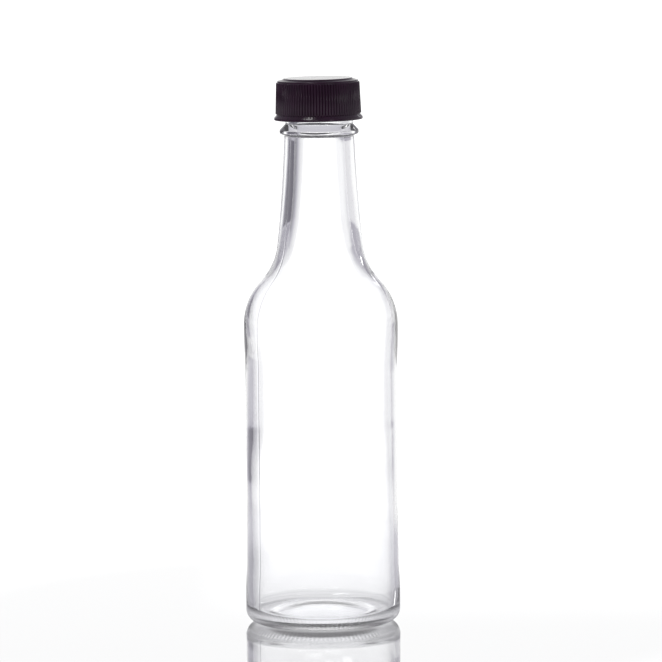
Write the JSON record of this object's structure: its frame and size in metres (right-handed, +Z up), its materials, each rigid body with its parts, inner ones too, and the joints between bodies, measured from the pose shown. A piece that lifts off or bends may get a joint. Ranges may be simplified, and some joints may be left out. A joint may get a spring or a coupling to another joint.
{
  "type": "glass sauce bottle",
  "caption": "Clear glass sauce bottle, empty, with a round body, sloping shoulder, long narrow neck and dark ribbed screw cap.",
  "frame": {"origin": "on the bottle's axis, on the surface that it stands on", "axes": "+Z up along the bottle's axis, from its foot to its cap; -Y faces the viewer of the picture, and the cap is a little higher on its +X side"},
  "size_m": [0.0484, 0.0484, 0.1702],
  "materials": {
    "clear_glass": "clear and glossy",
    "cap_plastic": "very dark brown, half glossy, ribbed"
  },
  "bodies": {
    "root": {"bottle": "clear_glass", "cap": "cap_plastic"}
  },
  "joints": []
}
